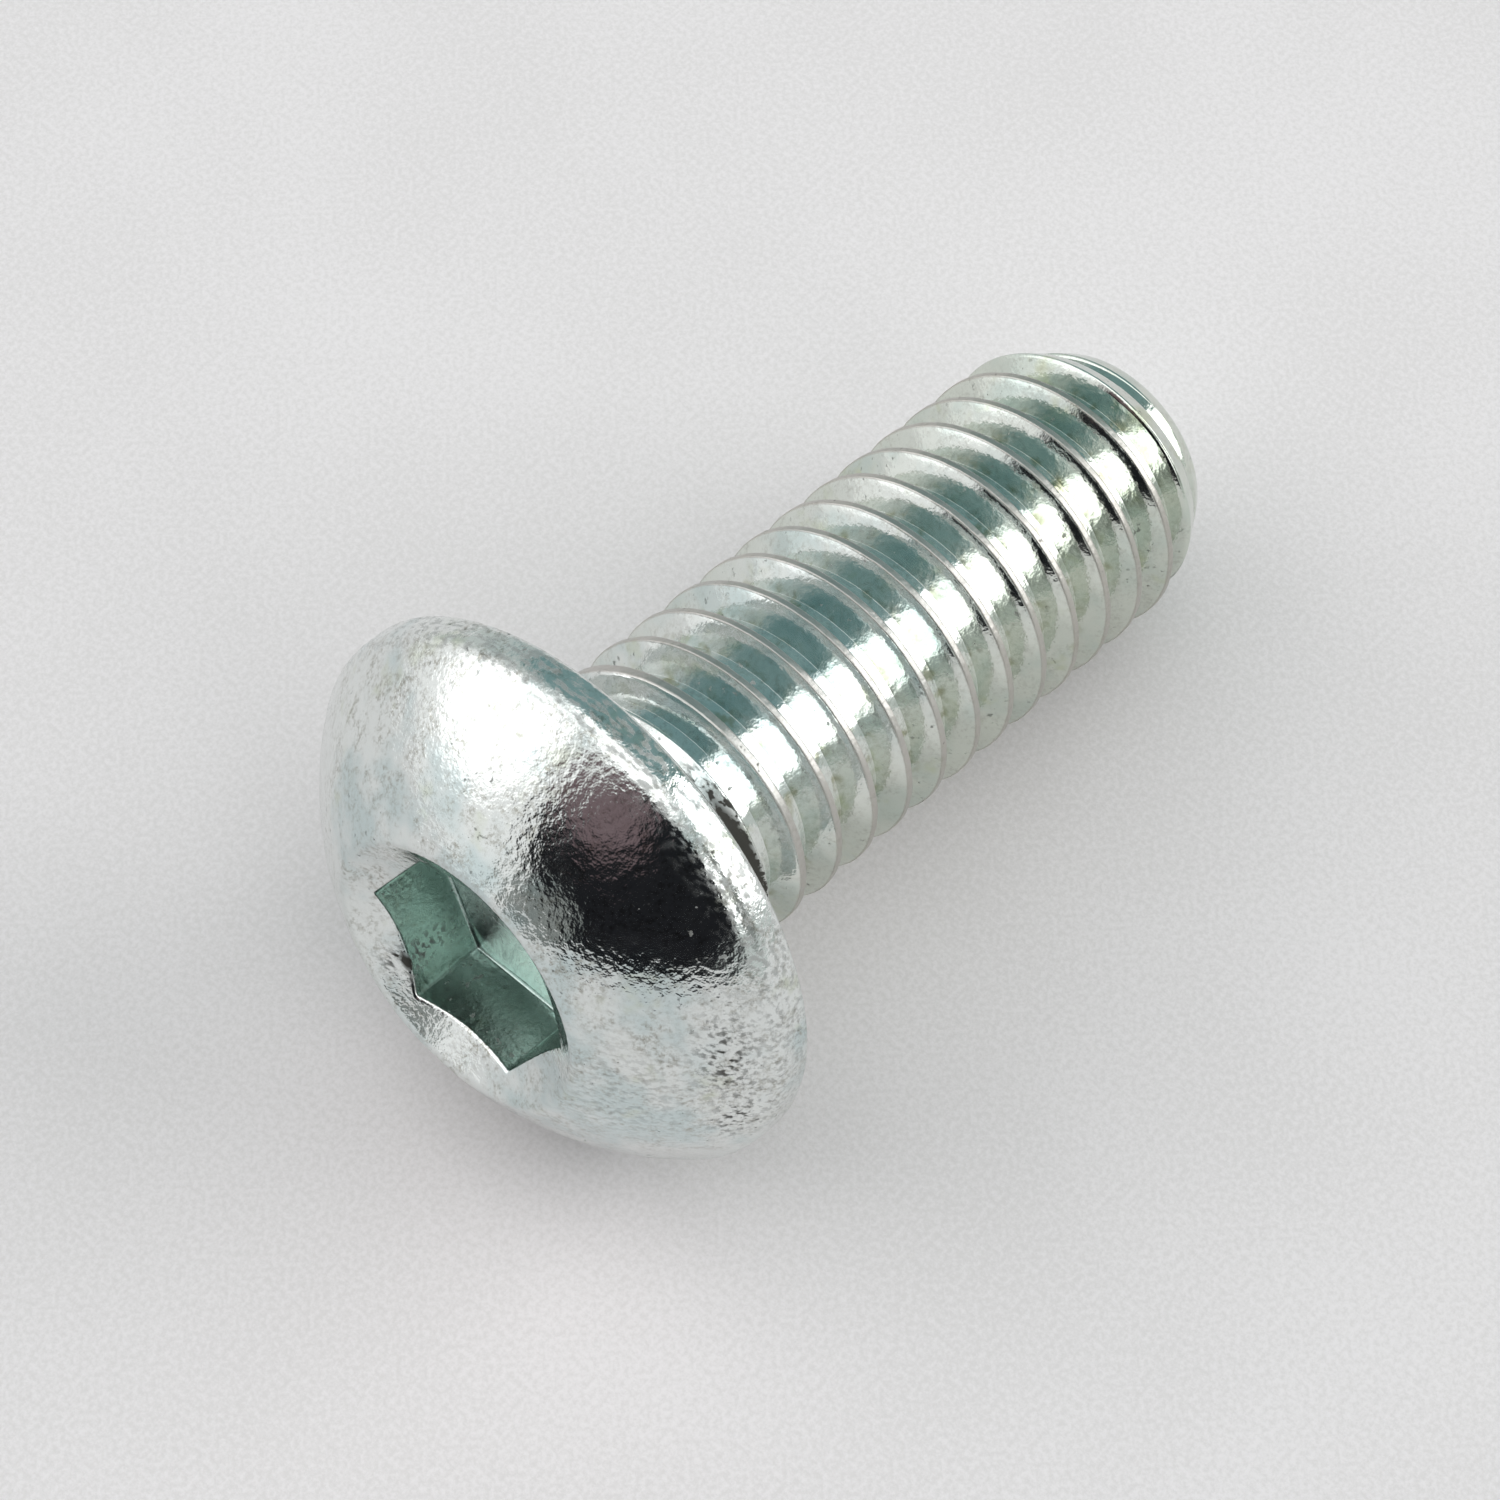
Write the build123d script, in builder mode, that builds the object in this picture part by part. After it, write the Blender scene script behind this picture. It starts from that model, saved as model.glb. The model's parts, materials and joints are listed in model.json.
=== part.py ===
from build123d import *
import os
from math import atan2, ceil, cos, floor, hypot, radians, sin, tan

# Button head socket screw, number 10, 32 threads to the inch, half an inch long.
# One cold-headed piece of steel with a rolled thread. It is drawn upright first: the
# bearing face of the head is at height 0, the domed head hangs below it and the shank
# rises above it along +Z. Then it is laid on its side, as a loose screw comes to rest,
# so that +X of the upright screw ends up on top. Lengths are in mm, angles in degrees.

# Thread
crest_diameter = 4.76
pitch = 0.794
flank_angle = 30          # of one flank, from square to the axis
thread_turn = 114.5       # angle round from +X where the groove first has its full depth
runout_taper = 15         # how steeply the groove rises out of the blank under the head
cutter_clearance = 0.05   # how far a groove cutter stands out past the crests

# Shank
shank_length = 12.6
neck_diameter = 4.3       # plain blank between the head and the thread
neck_length = 1.25
neck_flare = 0.25         # cone where the blank meets the head
shoulder_length = 0.5     # cone from the blank up to the crests
point_length = 1.15
point_diameter = 3.5

# Head
head_diameter = 9.0
head_height = 2.52        # from the bearing face to the mouth of the socket
side_height = 0.56        # from the bearing face to where the side would meet the dome
dome_edge = 0.5           # rounding between the dome and the side
bearing_edge = 0.2        # bevel between the side and the bearing face

# Hexagon socket
socket_width = 3.18       # across flats
socket_depth = 1.6        # of the flats, from the mouth
socket_turn = 28          # angle round from +X of the first corner
floor_depth = 0.35        # of the conical floor below the flats
mouth_diameter = 4.0      # of the countersink
mouth_angle = 120

crest_radius = crest_diameter / 2
neck_radius = neck_diameter / 2
point_radius = point_diameter / 2
head_radius = head_diameter / 2
mouth_radius = mouth_diameter / 2

# The sharp triangle of the thread form is cut off an eighth down at the crest and
# a quarter up at the root, which leaves five eighths of it as the groove's depth.
sharp_height = pitch / 2 / tan(radians(flank_angle))
groove_depth = sharp_height * 5 / 8
root_radius = crest_radius - groove_depth
half_root = pitch / 8
half_crest = pitch / 16

# The groove comes out of the blank where the shoulder starts, and it goes on, in equal
# stretches of up to one turn, past the point, whose taper is narrower than its root.
point_start = shank_length - point_length
runout_rise = tan(radians(runout_taper))
thread_start = neck_length + (neck_radius - root_radius) / runout_rise
runout_turns = (neck_radius + cutter_clearance - root_radius) / runout_rise / pitch
thread_turns = (shank_length - thread_start) / pitch + 1 / 2
stretches = ceil(thread_turns)
stretch_turns = thread_turns / stretches


def thread_groove(turns: float, taper: float = 0):
    """Make the cutter for one stretch of the thread groove.

    Args:
        turns: Number of turns in the stretch.
        taper: Half angle of the cone by which the groove deepens upwards.

    Returns:
        The cutter. Its lower end is at height 0 and its full depth at its upper end.
    """
    cutter_depth = groove_depth + cutter_clearance
    half_mouth = half_root + cutter_depth * tan(radians(flank_angle))
    with BuildPart() as groove:
        with BuildLine():
            # on a cone, the pitch of a Helix is measured along the slope
            path = Helix(
                pitch / cos(radians(taper)),
                turns * pitch,
                root_radius + turns * pitch * tan(radians(taper)),
                cone_angle=-taper,
            )
        upper_end = path @ 1
        outward = Vector(upper_end.X, upper_end.Y, 0)
        with BuildSketch(Plane(upper_end, x_dir=outward, z_dir=outward.cross(Vector(0, 0, 1)))):
            with BuildLine():
                Polyline(
                    (0, -half_root),
                    (cutter_depth, -half_mouth),
                    (cutter_depth, half_mouth),
                    (0, half_root),
                    close=True,
                )
            make_face()
        sweep(path=path, is_frenet=True)
    return groove.part


def along_thread(turns: float) -> Location:
    """Give the place on the thread that many turns above where it is first full."""
    return Location((0, 0, thread_start + turns * pitch), (0, 0, thread_turn + turns * 360))


# The dome is the cap of a ball through the rim of the socket's mouth and the top of the
# side. The mouth and the floor of the socket are cones.
dome_rise = head_height - side_height
dome_centre = (head_radius**2 - mouth_radius**2) / dome_rise / 2 - (head_height + side_height) / 2
dome_radius = hypot(head_radius, dome_centre + side_height)
dome_top = dome_centre - dome_radius
mouth_depth = mouth_radius / tan(radians(mouth_angle / 2))
flats_end = socket_depth - head_height

with BuildPart() as upright:
    with BuildSketch(Plane.XZ) as profile:
        with BuildLine():
            Polyline(
                (0, dome_top),
                (0, shank_length),
                (point_radius, shank_length),
                (crest_radius, point_start),
                (crest_radius, neck_length + shoulder_length),
                (neck_radius, neck_length),
                (neck_radius, 0),
                (head_radius, 0),
                (head_radius, -side_height),
            )
            RadiusArc((head_radius, -side_height), (0, dome_top), dome_radius)
        make_face()
        fillet(profile.vertices().sort_by_distance((head_radius, -side_height))[0], radius=dome_edge)
        chamfer(profile.vertices().sort_by_distance((head_radius, 0))[0], length=bearing_edge)
        chamfer(profile.vertices().sort_by_distance((neck_radius, 0))[0], length=neck_flare)
    revolve(axis=Axis.Z)

    # hexagon socket, its conical floor and its countersunk mouth
    with BuildSketch(Plane.XY.offset(-head_height)):
        RegularPolygon(socket_width / 2, 6, major_radius=False, rotation=socket_turn)
    extrude(amount=socket_depth, mode=Mode.SUBTRACT)
    with BuildSketch(Plane.XZ):
        with BuildLine():
            Polyline(
                (0, flats_end + floor_depth),
                (socket_width / 2, flats_end),
                (0, flats_end),
                close=True,
            )
        make_face()
        with BuildLine():
            Polyline(
                (0, mouth_depth - head_height),
                (mouth_radius, -head_height),
                (mouth_radius, dome_top),
                (0, dome_top),
                close=True,
            )
        make_face()
    revolve(axis=Axis.Z, mode=Mode.SUBTRACT)

    # thread, from its run-out under the head to the point
    with Locations(along_thread(-runout_turns)):
        add(thread_groove(runout_turns, runout_taper), mode=Mode.SUBTRACT)
    straight_groove = thread_groove(stretch_turns)
    with Locations(*[along_thread(stretch_turns * number) for number in range(stretches)]):
        add(straight_groove, mode=Mode.SUBTRACT)

# Lying down, the screw leans on the rim of its head, beside the bevel, and on the last
# full crest underneath, half a turn from +X. A crest is half a pitch from the groove.
first_crest = thread_start + pitch * ((180 - thread_turn) / 360 + 1 / 2)
more_crests = floor((point_start - half_crest - first_crest) / pitch)
last_crest = first_crest + more_crests * pitch + half_crest
tilt = atan2(head_radius - crest_radius, last_crest + bearing_edge)
lying_down = Plane((0, 0, 0), x_dir=(sin(tilt), 0, cos(tilt)), z_dir=(cos(tilt), 0, -sin(tilt)))

with BuildPart() as leaning:
    with Locations(lying_down):
        add(upright.part)

# The origin is under the middle of the screw, on the surface that it lies on.
footprint = leaning.part.bounding_box()
with BuildPart() as button_head_screw:
    with Locations((-footprint.center().X, -footprint.center().Y, -footprint.min.Z)):
        add(leaning.part)

button_head_screw.part.label = "button_head_screw"
os.makedirs("parts", exist_ok=True)
export_step(button_head_screw.part, "parts/button_head_screw.step")
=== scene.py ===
"""A button head socket screw of bright zinc-plated steel, lying on pale paper.

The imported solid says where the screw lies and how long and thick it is. Its plain shape is
replaced by one mesh with fine detail: a threaded shank, which Geometry Nodes wind
along the helix, and a headed blank with a punched hexagon socket. Both are drawn upright,
in millimetres, with the bearing face at height 0 and the shank rising above it, and are then
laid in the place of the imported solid.
"""

import json
import logging
import math
from dataclasses import dataclass, field
from enum import Enum

import bmesh
import bpy
import numpy as np
from mathutils import Matrix, Vector, noise


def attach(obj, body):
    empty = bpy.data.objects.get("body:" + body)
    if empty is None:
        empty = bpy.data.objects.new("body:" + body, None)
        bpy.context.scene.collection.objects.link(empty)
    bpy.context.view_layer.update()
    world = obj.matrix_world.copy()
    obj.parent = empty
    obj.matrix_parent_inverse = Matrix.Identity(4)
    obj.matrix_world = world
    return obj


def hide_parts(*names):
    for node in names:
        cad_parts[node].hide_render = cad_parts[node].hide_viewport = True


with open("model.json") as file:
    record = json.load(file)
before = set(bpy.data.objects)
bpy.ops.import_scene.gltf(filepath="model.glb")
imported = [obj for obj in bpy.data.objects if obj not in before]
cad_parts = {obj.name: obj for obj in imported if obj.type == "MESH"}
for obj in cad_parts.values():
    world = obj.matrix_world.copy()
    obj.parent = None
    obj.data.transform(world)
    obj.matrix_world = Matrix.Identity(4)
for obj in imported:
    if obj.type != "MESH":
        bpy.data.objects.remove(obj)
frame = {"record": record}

NODE = "button_head_screw"
MM = 0.001
TURN = 2 * math.pi
SOCKET_SIDES = 6
# vertices closer than this, in upright millimetres, are merged
WELD = 0.0008
# how far under the bearing face the camera aims, in millimetres
AIM_BELOW = 0.23

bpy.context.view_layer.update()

Tree = bpy.types.NodeTree
Socket = bpy.types.NodeSocket
Sizes = bpy.types.bpy_prop_collection
# a math operation and its terms, each of them a number, a socket or a sum in turn
Sum = tuple

log = logging.getLogger("screw")


class Mark(Enum):
    """What the mesh says about each of its spots, for the finish to read."""

    GROOVE = "groove"
    CREST = "crest"
    SOCKET = "socket"
    GRIT = "grit"
    # dirt, and painted shade: on the head's rim and underside, by the socket's mouth and in the thread's
    # run-out
    DIRT = "dirt"


# ---------------------------------------------------------------- small tools


def linear(hex_colour: str) -> tuple[float, float, float, float]:
    """Turn an sRGB colour into the linear one that a shader takes.

    Args:
        hex_colour: Six hexadecimal digits, such as "C8CCCA".

    Returns:
        Red, green, blue and an alpha of 1, all linear.
    """
    parts = [int(hex_colour[i : i + 2], 16) / 255 for i in (0, 2, 4)]
    return tuple(c / 12.92 if c <= 0.04045 else ((c + 0.055) / 1.055) ** 2.4 for c in parts) + (1.0,)


def clamped(value: float) -> float:
    """Hold a value between 0 and 1."""
    return min(max(value, 0.0), 1.0)


def add_node(
    tree: Tree,
    kind: str | Sum,
    settings: dict | None = None,
    inputs: dict | None = None,
) -> bpy.types.Node:
    """Add a node with its settings and what goes into it.

    Args:
        tree: The tree that gets the node.
        kind: The node's type name, or a sum to work out.
        settings: Attributes of the node and their values.
        inputs: Input names or numbers, each with a value, a socket to link from, or a sum.

    Returns:
        The node.
    """
    if isinstance(kind, tuple):
        settings = {"operation": kind[0]}
        inputs = dict(enumerate(kind[1:]))
        kind = "ShaderNodeMath"
    node = tree.nodes.new(kind)
    for name, value in (settings or {}).items():
        setattr(node, name, value)
    for name, value in (inputs or {}).items():
        if isinstance(value, tuple) and isinstance(value[0], str):
            value = add_node(tree, value).outputs[0]
        if isinstance(value, bpy.types.NodeSocket):
            tree.links.new(value, node.inputs[name])
        else:
            node.inputs[name].default_value = value
    return node


# ---------------------------------------------------------------- place


@dataclass(frozen=True)
class LyingPlace:
    """Where the upright screw goes: its origin and its axis."""

    origin: Vector
    axis: Vector

    @classmethod
    def from_mount(cls, mount: dict) -> "LyingPlace":
        """Read the place of the screw from the mount on its bearing face."""
        return cls(Vector(mount["pos_m"]), Vector(mount["axis"]).normalized())

    @property
    def top(self) -> Vector:
        """The direction square to the axis that points most upwards."""
        up = Vector((0, 0, 1))
        return (up - self.axis * up.dot(self.axis)).normalized()

    def matrix(self) -> Matrix:
        """Lay the upright screw down.

        Returns:
            The turn, move and scale from upright millimetres to the metres of the frame.
        """
        side = self.axis.cross(self.top)
        turn = Matrix((self.top, side, self.axis)).transposed()
        return Matrix.Translation(self.origin) @ turn.to_4x4() @ Matrix.Scale(MM, 4)


@dataclass(frozen=True)
class Columns:
    """How the mesh is divided round the screw, with columns crowding at the socket's corners.

    The first column is at a corner of the socket, at that angle from the top.
    """

    count: int = 144
    crowding: float = 0.7
    first: float = math.radians(28)
    waves: float = 2 * SOCKET_SIDES * math.pi

    def angles(self) -> np.ndarray:
        """Stand the columns round the axis.

        Returns:
            The angle of each column from the top, in radians.
        """
        even = np.arange(self.count) / self.count
        turns = even - self.crowding * np.sin(self.waves * even) / self.waves
        return self.first + TURN * turns


# ---------------------------------------------------------------- threaded shank


@dataclass
class ThreadedShank:
    """The rolled thread with its run-out, its tapered point and the blank's plain neck.

    A grid is wound round the axis so that its rows follow the helix. Each vertex then takes
    the smaller of two radii: that of the blank and that of the groove.

    The row marks say where rows stand between the middle of a root, at 0, and the middle of a
    crest, at 1. They crowd at the corners, so that flanks stay straight and corners crisp.
    A wedge of painted shade lies in the run-out, on the side towards the camera: the dark reflection of the
    head's shaded underside.
    """

    columns: Columns
    crest_radius: float
    tip: float
    neck_radius: float = 2.15
    neck_length: float = 1.25
    shoulder_length: float = 0.5
    shoulder_rounding: float = 0.1
    point_length: float = 1.15
    point_radius: float = 1.75
    point_rounding: float = 0.3
    face_span: float = 0.8
    pitch: float = 0.794
    flank_angle: float = math.radians(30)
    half_root: float = 1 / 8
    runout_rise: float = math.tan(math.radians(15))
    thread_turn: float = math.radians(114.5)
    crest_rounding: float = 0.014
    root_rounding: float = 0.003
    wear: float = 0.03
    wear_size: float = 0.3
    wear_detail: float = 3.0
    wear_roughness: float = 0.6
    crest_zone: float = 1 / 12
    joint: float = 0.6
    spare_turns: int = 2
    # a wedge of painted shade in the run-out, on the side towards the camera, where the shoulder mirrors the
    # head's shaded underside
    runout_shade: float = 5.0
    runout_shade_height: float = 1.38
    runout_shade_width: float = 0.26
    runout_shade_side: float = 0.2
    runout_shade_swell: float = 0.7
    row_marks: tuple[float, ...] = (
        *(0, 0.12, 0.244, 0.249, 0.251, 0.256, 0.34, 0.44, 0.54),
        *(0.64, 0.73, 0.81, 0.858, 0.87, 0.885, 0.94, 1),
    )

    @property
    def groove_depth(self) -> float:
        """Five eighths of the height of the sharp thread triangle."""
        return self.pitch / 2 / math.tan(self.flank_angle) * 5 / 8

    @property
    def thread_start(self) -> float:
        """The height at which the groove first has its full depth."""
        root = self.crest_radius - self.groove_depth
        return self.neck_length + (self.neck_radius - root) / self.runout_rise

    @property
    def half_rows(self) -> int:
        """How many rows there are from the middle of a root to the middle of a crest."""
        return len(self.row_marks) - 1

    @property
    def turns_below(self) -> int:
        """How many turns of the grid lie below the start of the thread."""
        return math.ceil((self.thread_start - self.joint) / self.pitch) + self.spare_turns

    @property
    def rows(self) -> int:
        """How many rows the whole grid has."""
        above = math.ceil((self.tip + self.face_span - self.thread_start) / self.pitch) + self.spare_turns
        return (self.turns_below + above) * self.half_rows * 2

    def named_inputs(self) -> dict[str, float]:
        """List the sizes that the tree takes as its inputs.

        Returns:
            Values by the inputs' names, in millimetres, turns and radians.
        """
        return {
            "Crest Radius": self.crest_radius,
            "Groove Depth": self.groove_depth,
            "Pitch": self.pitch,
            "Flank Slope": 1 / math.tan(self.flank_angle),
            "Crest Rounding": self.crest_rounding,
            "Root Rounding": self.root_rounding,
            "Wear": self.wear,
            "Wear Scale": 1 / self.wear_size,
            "Thread Start": self.thread_start,
            "Run-out Rise": self.runout_rise,
            "Neck Radius": self.neck_radius,
            "Neck Length": self.neck_length,
            "Shoulder Slope": (self.crest_radius - self.neck_radius) / self.shoulder_length,
            "Shoulder Rounding": self.shoulder_rounding,
            "Tip": self.tip,
            "Point Radius": self.point_radius,
            "Point Slope": (self.crest_radius - self.point_radius) / self.point_length,
            "Point Rounding": self.point_rounding,
            "Face Span": self.face_span,
            "Joint": self.joint,
            "Runout Shade Height": self.runout_shade_height,
            "Runout Shade Width": self.runout_shade_width,
            "First Column": self.columns.first,
            "Column Crowding": self.columns.crowding,
            "Thread Lead": (self.columns.first - self.thread_turn) / TURN,
        }

    def off_root(self, tree: Tree, row: Socket) -> Socket:
        """Move a row to its mark.

        Args:
            tree: The tree that gets the nodes.
            row: How far along the grid the row is, in turns, with roots at whole numbers.

        Returns:
            How far off the middle of the nearest root the row ends up, in turns.
        """
        off_row = add_node(tree, ("SUBTRACT", row, ("ROUND", row))).outputs[0]
        inputs = {"Value": ("MULTIPLY", ("ABSOLUTE", off_row), 2.0)}
        marked = add_node(tree, "ShaderNodeFloatCurve", inputs=inputs)
        points = marked.mapping.curves[0].points
        for number, mark in enumerate(self.row_marks[1:-1], 1):
            points.new(number / self.half_rows, mark)
        for point in points:
            point.handle_type = "VECTOR"
        marked.mapping.update()
        off_root = ("MULTIPLY", ("SIGN", off_row), ("MULTIPLY", marked.outputs[0], 0.5))
        return add_node(tree, off_root).outputs[0]

    def wind(self, tree: Tree, size: Sizes) -> tuple[Socket, Socket, Socket]:
        """Wind the grid's rows along the helix.

        Args:
            tree: The tree that gets the nodes.
            size: The tree's named inputs.

        Returns:
            Sockets with a vertex's angle, its height, and its turns off the middle of a root.
        """
        flat = add_node(tree, "GeometryNodeInputPosition").outputs[0]
        along, across, _ = add_node(tree, "ShaderNodeSeparateXYZ", inputs={0: flat}).outputs
        row = ("DIVIDE", ("ADD", along, self.rows / 2), self.half_rows * 2.0)
        row = add_node(tree, ("SUBTRACT", row, float(self.turns_below))).outputs[0]
        off_root = self.off_root(tree, row)

        column = add_node(tree, ("ADD", across, 0.5)).outputs[0]
        wave = ("DIVIDE", ("SINE", ("MULTIPLY", column, self.columns.waves)), self.columns.waves)
        turn = ("SUBTRACT", column, ("MULTIPLY", size["Column Crowding"], wave))
        turn = add_node(tree, turn).outputs[0]
        angle = add_node(tree, ("ADD", size["First Column"], ("MULTIPLY", turn, TURN))).outputs[0]

        # the height stays between the joint with the head and the middle of the tip
        climb = ("ADD", ("ADD", size["Thread Lead"], ("ADD", ("ROUND", row), off_root)), turn)
        height = ("ADD", size["Thread Start"], ("MULTIPLY", size["Pitch"], climb))
        height = ("MINIMUM", ("MAXIMUM", height, size["Joint"]), ("ADD", size["Tip"], size["Face Span"]))
        return angle, add_node(tree, height).outputs[0], off_root

    def groove(self, size: Sizes, height: Socket, off_root: Socket) -> Sum:
        """Shape the groove: a root that rises at the run-out, and two flanks.

        Args:
            size: The tree's named inputs.
            height: The height of a spot.
            off_root: How far the spot is off the middle of the nearest root, in turns.

        Returns:
            The sum for the groove's radius.
        """
        root_height = ("SUBTRACT", height, ("MULTIPLY", size["Pitch"], off_root))
        below_start = ("MAXIMUM", ("SUBTRACT", size["Thread Start"], root_height), 0.0)
        root = ("SUBTRACT", size["Crest Radius"], size["Groove Depth"])
        root = ("ADD", root, ("MULTIPLY", below_start, size["Run-out Rise"]))
        off_corner = ("SUBTRACT", ("ABSOLUTE", off_root), self.half_root)
        flank = ("MULTIPLY", ("MULTIPLY", off_corner, size["Pitch"]), size["Flank Slope"])
        return ("ADD", root, ("SMOOTH_MAX", flank, 0.0, size["Root Rounding"]))

    def blank(self, tree: Tree, size: Sizes, height: Socket) -> Sum:
        """Shape the blank: neck, shoulder, crests, tapered point and flat tip.

        Args:
            tree: The tree that gets the nodes.
            size: The tree's named inputs.
            height: The height of a spot.

        Returns:
            The sum for the blank's radius.
        """
        above_neck = ("MULTIPLY", ("SUBTRACT", height, size["Neck Length"]), size["Shoulder Slope"])
        shoulder = ("ADD", size["Neck Radius"], ("MAXIMUM", above_neck, 0.0))
        shoulder = ("MINIMUM", shoulder, size["Crest Radius"])
        below_tip = add_node(tree, ("SUBTRACT", size["Tip"], height)).outputs[0]
        point = ("ADD", size["Point Radius"], ("MULTIPLY", below_tip, size["Point Slope"]))
        face = ("ADD", 1.0, ("DIVIDE", below_tip, size["Face Span"]))
        face = ("MULTIPLY", size["Point Radius"], face)
        side = ("SMOOTH_MIN", shoulder, point, size["Shoulder Rounding"])
        return ("SMOOTH_MIN", side, face, size["Point Rounding"])

    def nicks(self, tree: Tree, size: Sizes, angle: Socket, height: Socket) -> Sum:
        """Nick the crests, as rolling and handling do.

        Args:
            tree: The tree that gets the nodes.
            size: The tree's named inputs.
            angle: The angle of a spot round the axis.
            height: The height of the spot.

        Returns:
            The sum for how deep a nick is there.
        """
        compass = {
            0: ("MULTIPLY", ("COSINE", angle), size["Crest Radius"]),
            1: ("MULTIPLY", ("SINE", angle), size["Crest Radius"]),
            2: height,
        }
        around = add_node(tree, "ShaderNodeCombineXYZ", inputs=compass).outputs[0]
        inputs = {"Vector": around, "Scale": size["Wear Scale"]}
        inputs |= {"Detail": self.wear_detail, "Roughness": self.wear_roughness}
        return ("MULTIPLY", add_node(tree, "ShaderNodeTexNoise", inputs=inputs).outputs[0], size["Wear"])

    def paint_runout_shade(self, size: Sizes, angle: Socket, height: Socket) -> Sum:
        """Paint shade in the run-out, in a wedge that thins out round the screw.

        Args:
            size: The tree's named inputs.
            angle: The angle of a spot round the axis.
            height: The height of the spot.

        Returns:
            The sum for how thick the painted shade is there.
        """
        off_runout = ("ABSOLUTE", ("SUBTRACT", height, size["Runout Shade Height"]))
        thickness = ("MAXIMUM", ("SUBTRACT", 1.0, ("DIVIDE", off_runout, size["Runout Shade Width"])), 0.0)
        side = ("MAXIMUM", ("SUBTRACT", ("SINE", angle), self.runout_shade_side), 0.0)
        return ("MULTIPLY", ("MULTIPLY", ("POWER", thickness, self.runout_shade_swell), side), self.runout_shade)

    def tree(self) -> Tree:
        """Build the node tree that winds the shank.

        Returns:
            The tree, with its sizes as named inputs.
        """
        tree = bpy.data.node_groups.new("Threaded shank", "GeometryNodeTree")
        for way in ("OUTPUT", "INPUT"):
            tree.interface.new_socket("Geometry", in_out=way, socket_type="NodeSocketGeometry")
        for name in self.named_inputs():
            tree.interface.new_socket(name, in_out="INPUT", socket_type="NodeSocketFloat")
        size = add_node(tree, "NodeGroupInput").outputs
        counts = {"Vertices X": self.rows + 1, "Vertices Y": self.columns.count + 1}
        inputs = {"Size X": float(self.rows), "Size Y": 1.0} | counts
        grid = add_node(tree, "GeometryNodeMeshGrid", inputs=inputs)

        angle, height, off_root = self.wind(tree, size)
        groove = self.groove(size, height, off_root)
        blank = add_node(tree, self.blank(tree, size, height)).outputs[0]
        sound = add_node(tree, ("SMOOTH_MIN", groove, blank, size["Crest Rounding"])).outputs[0]
        below_crest = ("SUBTRACT", size["Crest Radius"], sound)
        crest = ("MAXIMUM", ("SUBTRACT", 1.0, ("DIVIDE", below_crest, self.crest_zone)), 0.0)
        crest = add_node(tree, crest).outputs[0]
        worn = ("SUBTRACT", sound, ("MULTIPLY", self.nicks(tree, size, angle, height), crest))
        radius = add_node(tree, ("MAXIMUM", worn, 0.0)).outputs[0]
        spot = {
            0: ("MULTIPLY", radius, ("COSINE", angle)),
            1: ("MULTIPLY", radius, ("SINE", angle)),
            2: ("SMOOTH_MIN", height, size["Tip"], size["Point Rounding"]),
        }
        spot = add_node(tree, "ShaderNodeCombineXYZ", inputs=spot)

        # the marks are kept before the grid is wound, while its places still count
        marks = {
            Mark.GROOVE: ("DIVIDE", ("SUBTRACT", blank, radius), size["Groove Depth"]),
            Mark.CREST: crest,
            # painted shade: the run-out's dark reflection of the head's underside
            Mark.DIRT: self.paint_runout_shade(size, angle, height),
        }
        shape = grid
        for mark, value in marks.items():
            inputs = {"Geometry": shape.outputs[0], "Name": mark.value, "Value": value}
            shape = add_node(tree, "GeometryNodeStoreNamedAttribute", {"domain": "POINT"}, inputs)
        steps = {
            "GeometryNodeSetPosition": {"Position": spot.outputs[0]},
            "GeometryNodeMergeByDistance": {"Distance": WELD},
            "GeometryNodeRealizeInstances": {},
            "GeometryNodeSetMaterial": {},
        }
        for kind, inputs in steps.items():
            shape = add_node(tree, kind, inputs={"Geometry": shape.outputs[0]} | inputs)
        add_node(tree, "NodeGroupOutput", inputs={0: shape.outputs[0]})
        return tree

    def mesh(self) -> bpy.types.Mesh:
        """Run the tree on an empty carrier, which is removed again.

        Returns:
            The tree's result as a plain mesh, in upright millimetres.
        """
        carrier = bpy.data.objects.new("shank_carrier", bpy.data.meshes.new("shank_carrier"))
        bpy.context.scene.collection.objects.link(carrier)
        modifier = carrier.modifiers.new("Threaded shank", "NODES")
        modifier.node_group = self.tree()
        values = self.named_inputs()
        for item in modifier.node_group.interface.items_tree:
            if item.in_out == "INPUT" and item.name in values:
                modifier[item.identifier] = values[item.name]
        wound = carrier.evaluated_get(bpy.context.evaluated_depsgraph_get())
        shape = bpy.data.meshes.new_from_object(wound)
        bpy.data.objects.remove(carrier)
        log.info("shank: %d vertices", len(shape.vertices))
        return shape


# ---------------------------------------------------------------- head


@dataclass(frozen=True)
class Corner:
    """A corner of the head's section, which may differ from column to column.

    The rounding is how far from the corner its curve starts and ends, and the hold is how far
    off the curve the close rows stand, as a share of the rounding.
    """

    radius: float | np.ndarray
    height: float | np.ndarray
    rounding: float = 0.0
    steps: int = 5
    hold: float = 0.2

    def point(self, columns: int) -> np.ndarray:
        """Give the corner's radius and height for each column."""
        return np.stack([np.broadcast_to(np.asarray(v, float), columns) for v in (self.radius, self.height)])

    def curve(self, before: np.ndarray, point: np.ndarray, after: np.ndarray) -> list[np.ndarray]:
        """Give the rows of the corner.

        Args:
            before: The corner before this one, for each column.
            point: This corner, for each column.
            after: The corner after this one, for each column.

        Returns:
            The rows of the rounding, with a close row before and after it that holds the
            surfaces flat, or the sharp corner alone.
        """
        if not self.rounding:
            return [point]
        start, end = (
            point + (other - point) * self.rounding / np.linalg.norm(other - point, axis=0)
            for other in (before, after)
        )
        parts = np.linspace(0, 1, self.steps + 1)
        bend = [(1 - t) ** 2 * start + 2 * t * (1 - t) * point + t**2 * end for t in parts]
        return [start + (start - point) * self.hold, *bend, end + (end - point) * self.hold]


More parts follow.
